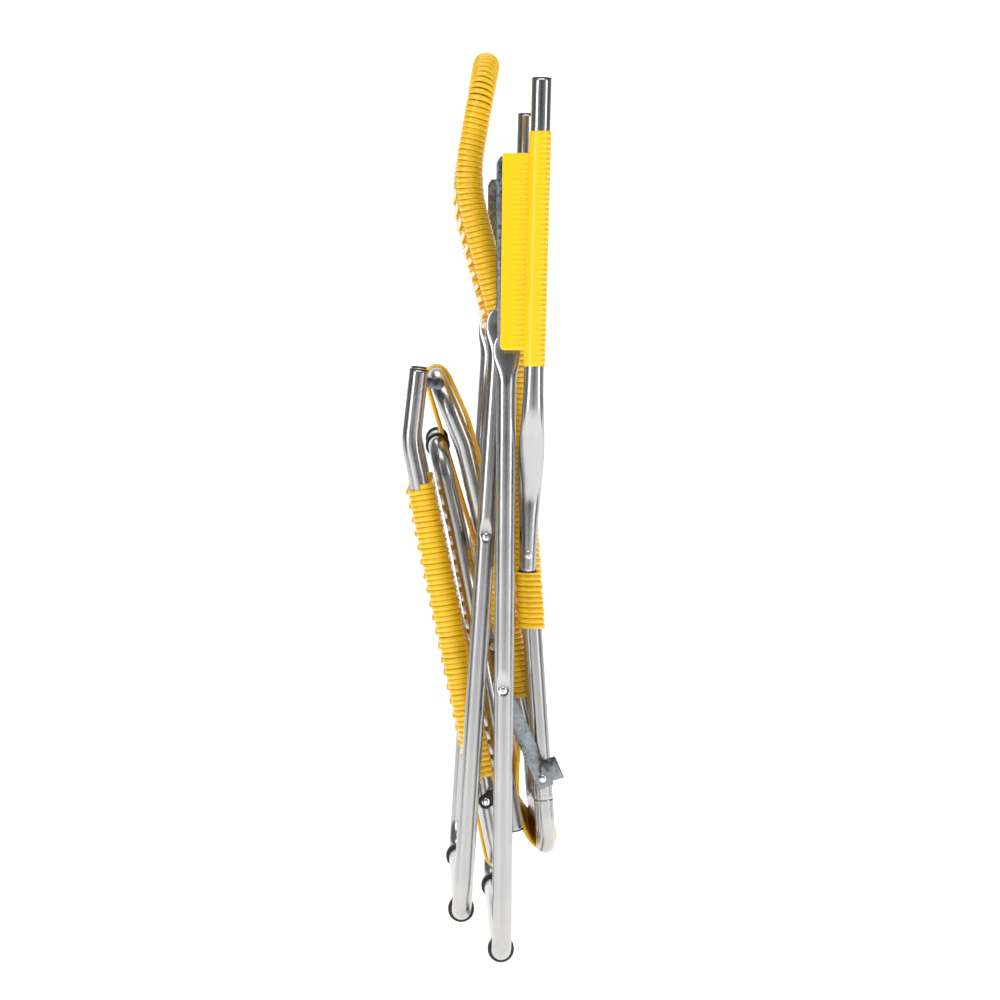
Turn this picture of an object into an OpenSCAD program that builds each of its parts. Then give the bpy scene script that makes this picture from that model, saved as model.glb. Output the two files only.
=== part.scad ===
// Folding sun lounger of bent aluminium tube with wound PVC cord, folded flat and stood on end.
// Front of the lounger is -X, its left side is -Y, +Z is up, and it is symmetric about Y = 0.

/* [Tube] */
// Outer diameter of every frame tube
tube_d = 25; // [22:0.5:26]
// Wall thickness of the tube
tube_wall = 1.5; // [1:0.1:2.5]
// Bend radius at the corners of the leg frames, to the middle of the tube
corner_bend = 45; // [35:1:60]

/* [Cord] */
// Diameter of the PVC cord wound round the tubes
cord_d = 4.4; // [3.5:0.1:4.8]
// Thickness of the cord webbing between the tubes
web_t = 9; // [7:0.5:10]

/* [Frame layers] */
// Half width to the middle of the armrest tubes
arm_y = 300; // [299:1:304]
// Half width to the middle of the rear leg tubes
rear_y = 287; // [286.5:0.25:288]
// Half width to the middle of the front leg tubes
front_y = 261; // [260:0.5:261]
// Half width to the middle of the back and footrest tubes
back_y = 227; // [226:0.5:228]
// Half width to the middle of the seat and foot leg tubes
seat_y = 200; // [198:0.5:200]
// Half width to the middle of the lower end of the armrest tubes
arm_low_y = 257.5; // [257:0.25:258]

/* [Pivots] */
// Rear leg on the armrest channel, distance in front of and above the origin
rear_top = [28.5, 794.6];
// Front leg on the armrest channel
front_top = [20.5, 826.4];
// Front leg on the seat frame
seat_pivot = [3.2, 551.2];
// Rear leg on the strut
strut_pivot = [23.7, 358.3];
// Armrest tube on the back frame
back_pivot = [56.5, 528.2];
// Seat, back and strut
hip_pivot = [75.9, 238.2];
// Footrest on the knee bracket of the seat
knee_pivot = [-83, 748];
// Foot leg on the link of the footrest
foot_pivot = [29.9, 225.9];

/* [Fasteners] */
// Diameter of the rivet shanks
rivet_d = 6; // [5:0.5:6]
// Radial clearance of a running rivet
run_gap = 0.05; // [0.02:0.01:0.1]
// Diameter of the domed rivet heads
head_d = 11; // [9:0.5:12]
// Thickness of the zinc-plated strips
strip_t = 2; // [1.5:0.1:2.2]

/* [Hidden] */
$fn = 48;

tube_r = tube_d / 2;
bore_r = tube_r - tube_wall;
rivet_r = rivet_d / 2;
head_r = head_d / 2;
head_h = 3;
wind_r = tube_r + cord_d;
wind_bore = tube_r + 0.1;
ring_r = 17;
ring_w = 16;
plug_cap = 2.5;
lap = 1;
bend_swell = 0.08;
eye_r = 16;
eye_t = 6;
band_r = tube_r + cord_d + 1;
band_half = 158;

// Side view outlines, as [x, z]
rear_foot = [22.4, ring_r];
front_foot = [-28.5, 64.5];
back_waist = [40, 770];
back_path = [[5, 1155], [-22, 1004], back_waist, at_height(back_waist, hip_pivot, 210)];
back_bend_path = [back_path[3], at_height(back_waist, hip_pivot, 145)];
seat_path = [[-59, 753], at_height(seat_pivot, hip_pivot, 664), at_height(seat_pivot, hip_pivot, 224)];
footrest_path = [[-82, 762], [-92.5, 670], [20, 126]];
foot_leg_path = [[-58, 664], [-33, 556], [41, 166]];
arm_top = [72.2, 1127];
arm_end = [55.9, 507];
back_wind_end = 431;
seat_wind = [340, 534];
footrest_wind = [236, 613];

function unit(v) = v / norm(v);
function at_y(path, y) = [for (p = path) [p[0], y, p[1]]];
function back_to_front(list) = [for (i = [len(list) - 1:-1:0]) list[i]];
// A frame bent to a U: along the path at -y, across, and back along it at +y
function u_path(path, y) = concat(at_y(path, -y), back_to_front(at_y(path, y)));
function at_height(a, b, z) = a + (b - a) * (z - a[1]) / (b[1] - a[1]);

// Turns a shape's +Z to the direction d and its +X to the direction n, and moves it to p
module place(p, n, d) {
    m = cross(d, n);
    multmatrix([[n[0], m[0], d[0], p[0]], [n[1], m[1], d[1], p[1]], [n[2], m[2], d[2], p[2]],
        [0, 0, 0, 1]]) children();
}

function bend_angle(a, b, c) = acos(max(-1, min(1, unit(b - a) * unit(c - b))));
function bend_back(a, b, c, r) = r * tan(bend_angle(a, b, c) / 2);
function bend_at(pts, i, bends) =
    i == 0 || i == len(pts) - 1 ? 0 : bend_back(pts[i - 1], pts[i], pts[i + 1], bends[i]);

// Direction across a straight run that lies square to the plane of its next or last bend
function run_side(pts, i) =
    let (j = i < len(pts) - 2 ? i : i - 1, n = cross(pts[j + 1] - pts[j], pts[j + 2] - pts[j + 1]))
    unit(n);

// A round bar along points, with one bend radius for each point. The runs reach 1 mm into the
// bends, which are thicker by a hair, and overshoot is how far the open ends run on.
module rod(pts, bends, r, overshoot = 0) {
    last = len(pts) - 1;
    for (i = [0:last - 1]) {
        d = unit(pts[i + 1] - pts[i]);
        head = i == 0 ? overshoot : lap - bend_at(pts, i, bends);
        tail = i == last - 1 ? overshoot : lap - bend_at(pts, i + 1, bends);
        place(pts[i] - d * head, run_side(pts, i), d)
            cylinder(h = norm(pts[i + 1] - pts[i]) + head + tail, r = r);
    }
    for (i = [1:1:last - 1]) {
        d = unit(pts[i] - pts[i - 1]);
        e = unit(pts[i + 1] - pts[i]);
        inward = unit(e - d * (d * e));
        centre = pts[i] - d * bend_at(pts, i, bends) + inward * bends[i];
        place(centre, -inward, cross(-inward, d))
            rotate_extrude(angle = bend_angle(pts[i - 1], pts[i], pts[i + 1]))
                translate([bends[i], 0]) circle(r + bend_swell);
    }
}

// A pipe along points: a bar with a bore that follows it
module pipe(pts, bends, ro, ri) {
    difference() {
        rod(pts, bends, ro);
        rod(pts, bends, ri, 1);
    }
}

// A straight sleeve between two points
module sleeve(a, b, ro, ri) {
    d = unit(b - a);
    place(a, unit(cross(d, [0, 1, 0])), d) difference() {
        cylinder(h = norm(b - a), r = ro);
        translate([0, 0, -1]) cylinder(h = norm(b - a) + 2, r = ri);
    }
}

// A round bar along Y between two half widths, on the left side (side -1) or the right (side 1)
module cross_pin(at, from, to, r, side) {
    translate([at[0], side * from, at[1]]) rotate([side * -90, 0, 0]) cylinder(h = to - from, r = r);
}

module both_sides() {
    for (side = [-1, 1]) let ($side = side) children();
}

// Domed head that points outwards (dir 1) or inwards (dir -1) from half width y
module dome(at, y, dir, side) {
    sphere_r = (head_r * head_r + head_h * head_h) / (2 * head_h);
    translate([at[0], side * y, at[1]]) rotate([side * dir * -90, 0, 0]) intersection() {
        translate([0, 0, head_h - sphere_r]) sphere(sphere_r);
        cylinder(h = head_h, r = head_r);
    }
}

// Shank between half widths with a domed head at each end
module rivet(at, from, to, side) {
    cross_pin(at, from, to, rivet_r, side);
    dome(at, to, 1, side);
    dome(at, from, -1, side);
}

module rivet_holes(at, from, to) {
    both_sides() cross_pin(at, from, to, rivet_r + run_gap, $side);
}

// Leg top pressed flat to an eye for the pivot on the armrest channel
module leg_eye(top, y, neck) {
    both_sides() difference() {
        union() {
            cross_pin(top, y - eye_t / 2, y + eye_t / 2, eye_r, $side);
            translate([top[0] - tube_r, $side * y - eye_t / 2, top[1] - neck])
                cube([tube_d, eye_t, neck]);
        }
        cross_pin(top, y - tube_r, y + tube_r, rivet_r + run_gap, $side);
    }
}

module leg_frame(top, foot, y, neck) {
    low_top = at_height(top, foot, top[1] - neck);
    side_path = [low_top, foot];
    pipe(u_path(side_path, y), [0, corner_bend, corner_bend, 0], tube_r, bore_r);
    leg_eye(top, y, neck + 1);
}

module floor_rings(foot, y) {
    both_sides() cross_tube(foot, y - corner_bend - ring_w, y - corner_bend, ring_r, tube_r + 0.05);
}

module cross_tube(at, from, to, ro, ri) {
    difference() {
        cross_pin(at, from, to, ro, $side);
        cross_pin(at, from - 1, to + 1, ri, $side);
    }
}

// Flat webbing that follows a side outline, between -half and half
module web_panel(path, half) {
    n = len(path);
    dirs = [for (i = [0:n - 1]) unit(path[min(i + 1, n - 1)] - path[max(i - 1, 0)])];
    normals = [for (d = dirs) [-d[1], d[0]] * web_t / 2];
    outline = concat([for (i = [0:n - 1]) path[i] + normals[i]],
        [for (i = [n - 1:-1:0]) path[i] - normals[i]]);
    translate([0, half, 0]) rotate([90, 0, 0]) linear_extrude(2 * half) polygon(outline);
}

module band(at, half) {
    translate([at[0], half, at[1]]) rotate([90, 0, 0]) difference() {
        cylinder(h = 2 * half, r = band_r);
        translate([0, 0, -1]) cylinder(h = 2 * half + 2, r = wind_bore);
    }
}

module rear_leg_frame() {
    color("silver") difference() {
        leg_frame(rear_top, rear_foot, rear_y, 28);
        rivet_holes(strut_pivot, rear_y - 20, rear_y + 20);
    }
}

module rear_leg_rings() {
    color("#202020") floor_rings(rear_foot, rear_y);
}

module rear_leg_rivets() {
    color("gainsboro") both_sides() rivet(strut_pivot, 268.5, rear_y + tube_r, $side);
}

module front_leg_frame() {
    color("silver") difference() {
        leg_frame(front_top, front_foot, front_y, 28);
        rivet_holes(seat_pivot, front_y - 20, front_y + 20);
    }
}

module front_leg_rings() {
    color("#202020") floor_rings(front_foot, front_y);
}

module front_leg_rivets() {
    color("gainsboro") both_sides() rivet(seat_pivot, seat_y - tube_r - 0.4, front_y + tube_r, $side);
}

module front_leg_spacers() {
    color("#202020") both_sides()
        cross_tube(seat_pivot, seat_y + tube_r + 0.4, front_y - tube_r, 8, rivet_r + run_gap);
}

module back_frame() {
    bends = [0, 150, 200, 60, 60, 200, 150, 0];
    color("silver") difference() {
        pipe(u_path(back_to_front(back_path), back_y), bends, tube_r, bore_r);
        rivet_holes(hip_pivot, back_y - 20, back_y + 20);
    }
}

// Separate bent piece that closes the lower end of the back frame
module back_lower_bend() {
    color("silver") pipe(u_path(back_bend_path, back_y), [0, 43, 43, 0], tube_r, bore_r);
}

module back_webbing() {
    wound = [at_height(back_waist, hip_pivot, back_wind_end), back_waist, [-22, 1004], [5, 1155]];
    color("gold") {
        pipe(u_path(wound, back_y), [0, 150, 200, 60, 60, 200, 150, 0], wind_r, wind_bore);
        web_panel([wound[0], [53, 575], [42, 740], [33, 800], [-3, 932], [-12, 985], [-12, 1035],
            [-4, 1104]], back_y - tube_r - 2);
    }
}

module back_lower_webbing() {
    low = back_bend_path[1];
    color("gold") {
        band(low, band_half);
        web_panel([low + [-2, band_r - 1], at_height(back_waist, hip_pivot, back_wind_end - 1)], band_half);
    }
}

module seat_frame() {
    bends = [0, 120, 55, 55, 120, 0];
    color("silver") difference() {
        pipe(u_path(back_to_front(seat_path), seat_y), bends, tube_r, bore_r);
        rivet_holes(seat_pivot, seat_y - 20, seat_y + 20);
        rivet_holes(hip_pivot, seat_y - 20, seat_y + 20);
    }
}

module seat_webbing() {
    high = at_height(seat_pivot, hip_pivot, seat_wind[1]);
    low = at_height(seat_pivot, hip_pivot, seat_wind[0]);
    color("gold") {
        both_sides() sleeve([high[0], $side * seat_y, high[1]], [low[0], $side * seat_y, low[1]],
            wind_r, wind_bore);
        web_panel([high, low], seat_y - tube_r - 2);
    }
}

module seat_knee_webbing() {
    high = at_height(seat_pivot, hip_pivot, seat_wind[1] + 1);
    knee = seat_path[0];
    color("gold") {
        band(knee, band_half - 20);
        web_panel([high, [-17, 640], [-30, 683], knee + [4, -band_r + 1]], band_half - 20);
    }
}

module seat_hip_rivets() {
    color("gainsboro") both_sides() {
        cross_pin(hip_pivot, seat_y - tube_r, back_y + tube_r + 0.8, rivet_r, $side);
        dome(hip_pivot, seat_y - tube_r, -1, $side);
    }
}

module tube_plug(end, before, y, side) {
    d = unit([end[0] - before[0], 0, end[1] - before[1]]);
    p = [end[0], side * y, end[1]];
    place(p, [0, 1, 0], d) {
        cylinder(h = plug_cap, r = tube_r);
        translate([0, 0, -8]) cylinder(h = 8.5, r = bore_r - 0.05);
    }
}

module seat_tube_plugs() {
    n = len(seat_path);
    color("#202020") both_sides() tube_plug(seat_path[n - 1], seat_path[n - 2], seat_y, $side);
}

// Zinc-plated plate fixed to the corner of the seat frame, with an eye for the footrest
module knee_brackets() {
    eye = 7.5;
    seat_corner = seat_path[0] + [2, -8];
    from = seat_y + tube_r + 0.15;
    color("lightslategray") both_sides() difference() {
        union() {
            cross_pin(knee_pivot, from, from + 1.6, eye, $side);
            cross_pin(seat_corner, from, from + 1.6, eye, $side);
            strip(knee_pivot, seat_corner, 1.8 * eye, from, from + 1.6, $side);
        }
        cross_pin(knee_pivot, from - 1, from + 3, rivet_r, $side);
    }
}

// Straight strip of a width between two points of the side view
module strip(a, b, width, from, to, side) {
    length = norm(b - a);
    tilt = atan2(b[1] - a[1], b[0] - a[0]);
    y0 = side > 0 ? from : -to;
    translate([a[0], y0, a[1]]) rotate([0, -tilt, 0]) translate([0, 0, -width / 2])
        cube([length, to - from, width]);
}

// Blind rivets whose heads sit inside the footrest tube
module knee_rivets() {
    color("gainsboro") both_sides() {
        cross_pin(knee_pivot, seat_y + tube_r + 0.15, back_y - 9.2, rivet_r, $side);
        dome(knee_pivot, back_y - 9.2, 1, $side);
    }
}

module footrest_frame() {
    bends = [0, 90, corner_bend, corner_bend, 90, 0];
    color("silver") difference() {
        pipe(u_path(footrest_path, back_y), bends, tube_r, bore_r);
        rivet_holes(knee_pivot, back_y - 20, back_y);
        rivet_holes(link_pivot(), back_y - 20, back_y + 20);
    }
}

function link_pivot() = at_height(footrest_path[1], footrest_path[2], 208.7);

module footrest_webbing() {
    high = at_height(footrest_path[1], footrest_path[2], footrest_wind[1]);
    low = at_height(footrest_path[1], footrest_path[2], footrest_wind[0]);
    color("gold") {
        both_sides() sleeve([high[0], $side * back_y, high[1]], [low[0], $side * back_y, low[1]],
            wind_r, wind_bore);
        web_panel([high, low], back_y - tube_r - 2);
    }
}

module footrest_end_webbing() {
    low = at_height(footrest_path[1], footrest_path[2], footrest_wind[0] - 1);
    end = footrest_path[2];
    color("gold") {
        band(end, band_half);
        web_panel([low, end + [-4, band_r - 1]], band_half);
    }
}

module footrest_plugs() {
    color("#202020") both_sides() tube_plug(footrest_path[0], footrest_path[1], back_y, $side);
}

// Black link plate with cut corners, riveted to the footrest, with the foot leg's pivot at its
// other end
module footrest_links() {
    from = back_y + tube_r + 0.3;
    a = link_pivot();
    along = unit(foot_pivot - a);
    across = [-along[1], along[0]];
    long = 9;
    cut = 4;
    outline = [a - long * along - cut * across, a - cut * along - long * across,
        foot_pivot + cut * along - long * across, foot_pivot + long * along - cut * across,
        foot_pivot + long * along + cut * across, foot_pivot + cut * along + long * across,
        a - cut * along + long * across, a - long * along + cut * across];
    color("#202020") both_sides() difference() {
        channel_sheet(outline, from, from + 3, $side);
        cross_pin(a, from - 1, from + 4, rivet_r + run_gap, $side);
        cross_pin(foot_pivot, from - 1, from + 4, rivet_r + run_gap, $side);
    }
}

module link_rivets() {
    outer = back_y + tube_r + 3.3;
    color("gainsboro") both_sides() {
        rivet(link_pivot(), back_y - tube_r, outer, $side);
        rivet(foot_pivot, seat_y - tube_r - 0.4, outer, $side);
    }
}

module foot_leg_frame() {
    bends = [0, 120, 42, 42, 120, 0];
    color("silver") difference() {
        pipe(u_path(back_to_front(foot_leg_path), seat_y), bends, tube_r, bore_r);
        rivet_holes(foot_pivot, seat_y - 20, seat_y + 20);
    }
}

module foot_leg_rings() {
    color("#202020") both_sides() cross_tube(foot_leg_path[0], 138, 154, 16, tube_r + 0.05);
}

module foot_leg_plugs() {
    n = len(foot_leg_path);
    color("#202020") both_sides() tube_plug(foot_leg_path[n - 1], foot_leg_path[n - 2], seat_y, $side);
}

// Armrest tube: straight under the pad, then set inwards to meet the back frame
module arm_tube(side) {
    out = at_height(arm_top, arm_end, 700);
    in = at_height(arm_top, arm_end, 610);
    pts = [[arm_top[0], side * arm_y, arm_top[1]], [out[0], side * arm_y, out[1]],
        [in[0], side * arm_low_y, in[1]], [arm_end[0], side * arm_low_y, arm_end[1]]];
    color("silver") difference() {
        pipe(side > 0 ? back_to_front(pts) : pts, [0, 80, 80, 0], tube_r, bore_r);
        cross_pin(back_pivot, arm_low_y - 20, arm_low_y + 20, rivet_r + run_gap, side);
    }
}

// Moulded pad: a sleeve round the tube and a flat skirt that hides the channel
module arm_pad(side) {
    top = at_height(arm_top, arm_end, 1062);
    low = at_height(arm_top, arm_end, 768);
    skirt_t = 3;
    skirt_y = arm_y + 1;
    color("yellow") union() {
        sleeve([top[0], side * arm_y, top[1]], [low[0], side * arm_y, low[1]], tube_r + 1.8,
            tube_r + 0.05);
        translate([0, side > 0 ? skirt_y + skirt_t : -skirt_y, 0]) rotate([90, 0, 0])
            linear_extrude(skirt_t) polygon([[23, 1035], [56, 1035], [50, 788], [26, 788], [20, 794]]);
    }
}

// Folded strip channel under the pad, open towards the legs
module arm_channel(side) {
    inner = 244.7;
    outer = 297.4;
    sheet = 1.4;
    low = 788;
    high = 1031;
    front = 16.5;
    back_low = 45.5;
    web = [[back_low, low], [back_low + 1, low], [back_low + 5, high], [back_low + 4, high]];
    flange = [[front, low + 8], [front + 6, low], [back_low + 1, low], [back_low + 5, high],
        [front + 4, high], [front, high - 6]];
    color("lightslategray") difference() {
        union() {
            channel_sheet(flange, outer - sheet, outer, side);
            channel_sheet(flange, inner, inner + sheet, side);
            channel_sheet(web, inner, outer, side);
        }
        cross_pin(rear_top, outer - 5, outer + 2, rivet_r, side);
        cross_pin(front_top, inner - 2, inner + 5, rivet_r, side);
    }
}

module channel_sheet(outline, from, to, side) {
    translate([0, side > 0 ? to : -from, 0]) rotate([90, 0, 0]) linear_extrude(to - from)
        polygon(outline);
}

module arm_plugs(side) {
    color("#202020") {
        tube_plug(arm_top, arm_end, arm_y, side);
        tube_plug(arm_end, arm_top, arm_low_y, side);
    }
}

module arm_rivets(side) {
    color("gainsboro") {
        cross_pin(rear_top, rear_y - 5, 297.9, rivet_r, side);
        cross_pin(front_top, 244.2, front_y + 5, rivet_r, side);
        cross_pin(back_pivot, arm_low_y - tube_r, arm_low_y + tube_r, rivet_r, side);
        dome(back_pivot, arm_low_y + tube_r, 1, side);
    }
}

// Cranked zinc-plated strut between the rear leg and the hip pivot, cut square at its lower end
module strut(side) {
    width = 21;
    upper_y = 271.8;
    lower_y = back_y + tube_r + 1.6;
    length = norm(hip_pivot - strut_pivot);
    tilt = atan2(hip_pivot[1] - strut_pivot[1], hip_pivot[0] - strut_pivot[0]);
    crank = [[-12, upper_y], [35, upper_y], [85, lower_y], [length + 12, lower_y],
        [length + 12, lower_y + strip_t], [86, lower_y + strip_t], [36, upper_y + strip_t],
        [-12, upper_y + strip_t]];
    color("lightslategray") difference() {
        union() {
            translate([strut_pivot[0], 0, strut_pivot[1]]) rotate([0, -tilt, 0])
                translate([0, 0, -width / 2]) linear_extrude(width)
                polygon([for (p = crank) [p[0], side * p[1]]]);
            strut_tab(side, lower_y, tilt, width);
        }
        cross_pin(strut_pivot, upper_y - 5, upper_y + 5, rivet_r + run_gap, side);
        cross_pin(hip_pivot, lower_y - 5, lower_y + 5, rivet_r + run_gap, side);
    }
}

// Tab bent outwards along the lower edge of the strut, as a finger rest
module strut_tab(side, y, tilt, width) {
    long = 30;
    wide = 20;
    lean = 35;
    translate([hip_pivot[0], side * (y + strip_t / 2), hip_pivot[1]]) rotate([0, -tilt, 0])
        translate([-22, 0, width / 2 - 1]) rotate([-side * lean, 0, 0])
        translate([0, -strip_t / 2, 0]) cube([long, strip_t, wide]);
}

module strut_rivet(side) {
    lower_y = back_y + tube_r + 1.6;
    color("gainsboro") {
        cross_pin(hip_pivot, lower_y, lower_y + strip_t, rivet_r, side);
        dome(hip_pivot, lower_y + strip_t, 1, side);
    }
}

rear_leg_frame();
rear_leg_rings();
rear_leg_rivets();
front_leg_frame();
front_leg_rings();
front_leg_rivets();
front_leg_spacers();
back_frame();
back_lower_bend();
back_webbing();
back_lower_webbing();
seat_frame();
seat_webbing();
seat_knee_webbing();
seat_hip_rivets();
seat_tube_plugs();
knee_brackets();
knee_rivets();
footrest_frame();
footrest_webbing();
footrest_end_webbing();
footrest_plugs();
footrest_links();
link_rivets();
foot_leg_frame();
foot_leg_rings();
foot_leg_plugs();
arm_tube(-1);  // arm_tube_left
arm_tube(1);  // arm_tube_right
arm_pad(-1);  // arm_pad_left
arm_pad(1);  // arm_pad_right
arm_channel(-1);  // arm_channel_left
arm_channel(1);  // arm_channel_right
arm_plugs(-1);  // arm_plugs_left
arm_plugs(1);  // arm_plugs_right
arm_rivets(-1);  // arm_rivets_left
arm_rivets(1);  // arm_rivets_right
strut(-1);  // strut_left
strut(1);  // strut_right
strut_rivet(-1);  // strut_rivet_left
strut_rivet(1);  // strut_rivet_right
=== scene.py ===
import math

import bmesh
import bpy
import numpy as np
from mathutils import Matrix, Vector


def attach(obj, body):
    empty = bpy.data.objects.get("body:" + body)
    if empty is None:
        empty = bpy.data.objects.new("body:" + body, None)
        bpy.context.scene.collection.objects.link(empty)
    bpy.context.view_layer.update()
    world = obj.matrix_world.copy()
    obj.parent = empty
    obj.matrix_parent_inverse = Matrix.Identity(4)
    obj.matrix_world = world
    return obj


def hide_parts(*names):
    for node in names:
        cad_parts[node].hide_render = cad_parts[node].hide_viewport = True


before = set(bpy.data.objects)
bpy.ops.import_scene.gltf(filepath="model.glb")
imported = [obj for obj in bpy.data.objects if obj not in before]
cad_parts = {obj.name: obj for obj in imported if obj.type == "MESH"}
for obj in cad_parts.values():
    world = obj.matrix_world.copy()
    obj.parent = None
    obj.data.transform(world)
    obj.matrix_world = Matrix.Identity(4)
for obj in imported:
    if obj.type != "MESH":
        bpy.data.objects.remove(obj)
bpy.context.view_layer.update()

# ---------------------------------------------------------------- Camera
# The folded lounger stands on end and is seen from its left side, with a long lens a little
# above its middle. The armrests and legs lie across the line of sight.
camera_data = bpy.data.cameras.new("side_camera")
camera_data.sensor_width = 36.0
camera_data.lens = 110.99
camera = bpy.data.objects.new("side_camera", camera_data)
camera.location = (-0.072, -4.178, 0.7946)
aim = Vector((math.tan(math.radians(1.357)), 1.0, -math.tan(math.radians(2.878))))
camera.rotation_euler = aim.to_track_quat("-Z", "Y").to_euler()
bpy.context.scene.collection.objects.link(camera)
bpy.context.scene.camera = camera


# ---------------------------------------------------------------- Shader arithmetic and the studio
# A seamless pale floor under a pale sky, soft boxes on both sides and dark flags that the
# polished tubes mirror as long grey streaks. The flags only show in reflections.
class Wire:
    """A socket in a node tree: + and * between wires and numbers add the Math node they name."""

    def __init__(self, tree, socket):
        self.tree = tree
        self.socket = socket

    def node(self, kind, settings=None, out=0, **inputs):
        """Adds a node of a kind, sets its settings, then its sockets from numbers, colours or wires."""
        made = self.tree.nodes.new(kind)
        for key, value in (settings or {}).items():
            setattr(made, key, value)
        for key, value in inputs.items():
            name = key.replace("_", " ")
            socket = made.inputs[int(name[1:])] if name[1:].isdigit() else made.inputs[name]
            if isinstance(value, Wire):
                self.tree.links.new(value.socket, socket)
            else:
                socket.default_value = value
        return Wire(self.tree, made.outputs[out])

    def math(self, operation, left, right):
        return self.node("ShaderNodeMath", {"operation": operation}, i0=left, i1=right)

    def __add__(self, other):
        return self.math("ADD", self, other)

    def __radd__(self, other):
        return self.math("ADD", other, self)

    def __mul__(self, other):
        return self.math("MULTIPLY", self, other)

    def __rmul__(self, other):
        return self.math("MULTIPLY", other, self)


def finish(name, base, metallic=0.0, roughness=0.4, coat=0.0, specular=0.5):
    """A new Principled material with constant values on its sockets; returns it and its wire."""
    made = bpy.data.materials.new(name)
    made.use_nodes = True
    shader = made.node_tree.nodes["Principled BSDF"]
    shader.inputs["Base Color"].default_value = (*base, 1.0)
    shader.inputs["Metallic"].default_value = metallic
    shader.inputs["Roughness"].default_value = roughness
    shader.inputs["Coat Weight"].default_value = coat
    shader.inputs["Coat Roughness"].default_value = 0.12
    shader.inputs["Specular IOR Level"].default_value = specular
    return made, Wire(made.node_tree, shader.outputs[0]), shader


def feed(wire, shader, **inputs):
    """Links wires into the shader's sockets, with the underscore in a name read as a space."""
    for key, value in inputs.items():
        wire.tree.links.new(value.socket, shader.inputs[key.replace("_", " ")])


def bent(wire, height, strength, distance):
    """A Bump node on a height wire, strength a fraction and distance in metres."""
    return wire.node("ShaderNodeBump", None, 0, Strength=strength, Distance=distance, Height=height)


def blended(wire, factor, first, second):
    """Mixes two colours, each a wire or a colour, by a factor wire."""
    return wire.node("ShaderNodeMix", {"data_type": "RGBA"}, 2, i0=factor, i6=first, i7=second)


def noise(wire, scale, detail):
    """Noise over the piece's own object coordinates, scale in cells per metre."""
    return wire.node("ShaderNodeTexNoise", None, 0, Scale=scale, Detail=detail,
                     Vector=wire.node("ShaderNodeTexCoord", None, "Object"))


floor_finish, floor_wire, floor_shader = finish("pale_floor", (0.9, 0.9, 0.9), roughness=0.75, specular=0.2)
floor_grain = floor_wire.node("ShaderNodeTexNoise", None, 0, Scale=3.0, Detail=2.0)
feed(floor_wire, floor_shader, Roughness=0.7 + floor_grain * 0.1)
floor_shader.inputs["Emission Color"].default_value = (1.0, 1.0, 1.0, 1.0)
floor_shader.inputs["Emission Strength"].default_value = 0.80
cove_turn = np.linspace(0, np.pi / 2, 24)
cove_y = np.concatenate([[-10.0], 12.0 + 3.0 * np.sin(cove_turn), [15.0]])
cove_z = np.concatenate([[0.0], 3.0 - 3.0 * np.cos(cove_turn), [9.0]])
cove_side = [(x, y, z) for x in (-14.0, 14.0) for y, z in zip(cove_y, cove_z)]
cove_count = len(cove_y)
floor_mesh = bpy.data.meshes.new("studio_floor")
floor_mesh.from_pydata(cove_side, [], [(k + cove_count, k + cove_count + 1, k + 1, k)
                                       for k in range(cove_count - 1)])
floor_mesh.polygons.foreach_set("use_smooth", np.ones(len(floor_mesh.polygons), bool))
floor = bpy.data.objects.new("studio_floor", floor_mesh)
floor_mesh.materials.append(floor_finish)
bpy.context.scene.collection.objects.link(floor)

world = bpy.data.worlds.new("pale_studio")
world.use_nodes = True
world.node_tree.nodes["Background"].inputs["Color"].default_value = (0.95, 0.97, 1.0, 1.0)
world.node_tree.nodes["Background"].inputs["Strength"].default_value = 0.22
bpy.context.scene.world = world
bpy.context.scene.view_settings.view_transform = "Standard"


def soft_box(name, place, size, power):
    """A rectangular area light at a place, turned towards the middle of the lounger."""
    data = bpy.data.lights.new(name, "AREA")
    data.shape = "RECTANGLE"
    data.size, data.size_y = size
    data.energy = power
    made = bpy.data.objects.new(name, data)
    made.location = place
    made.rotation_euler = (Vector((0, 0, 0.6)) - made.location).to_track_quat("-Z", "Y").to_euler()
    bpy.context.scene.collection.objects.link(made)


soft_box("left_box", (-2.7, -2.6, 1.7), (0.9, 2.6), 42)
soft_box("right_box", (2.9, -2.0, 1.6), (0.7, 2.6), 30)
soft_box("top_box", (0.0, -1.2, 3.6), (2.4, 1.6), 32)
soft_box("cove_box", (0.0, 1.8, 3.8), (3.0, 1.2), 40)

flag_finish = finish("dark_flag", (0.03, 0.03, 0.032), roughness=0.9)[0]
FLAG_LOW, FLAG_HIGH = 0.02, 3.0
for flag_name, flag_x, flag_y, flag_wide in (("front_flag", 0.35, -5.2, 1.5),
                                             ("right_flag", 2.3, -0.4, 0.8),
                                             ("left_flag", -2.4, -0.6, 0.9)):
    facing = np.array([-flag_x, -flag_y]) / math.hypot(flag_x, flag_y)
    across = np.array([-facing[1], facing[0]]) * flag_wide / 2
    flag_mesh = bpy.data.meshes.new(flag_name)
    flag_mesh.from_pydata([(flag_x + end * across[0], flag_y + end * across[1], z)
                           for end, z in ((-1, FLAG_LOW), (1, FLAG_LOW), (1, FLAG_HIGH), (-1, FLAG_HIGH))],
                          [], [(0, 1, 2, 3)])
    flag_mesh.materials.append(flag_finish)
    flag = bpy.data.objects.new(flag_name, flag_mesh)
    bpy.context.scene.collection.objects.link(flag)
    flag.visible_camera = False
    flag.visible_diffuse = False
    flag.visible_shadow = False


# ---------------------------------------------------------------- Rear leg
# A U of 25 mm aluminium tube, drawn and polished, with its two tops pressed flat to eyes for the
# armrest channel and a dimple where the strut's rivet goes through.
TUBE_R = 12.5
ACROSS = np.array([0.0, 1.0, 0.0])


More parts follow.
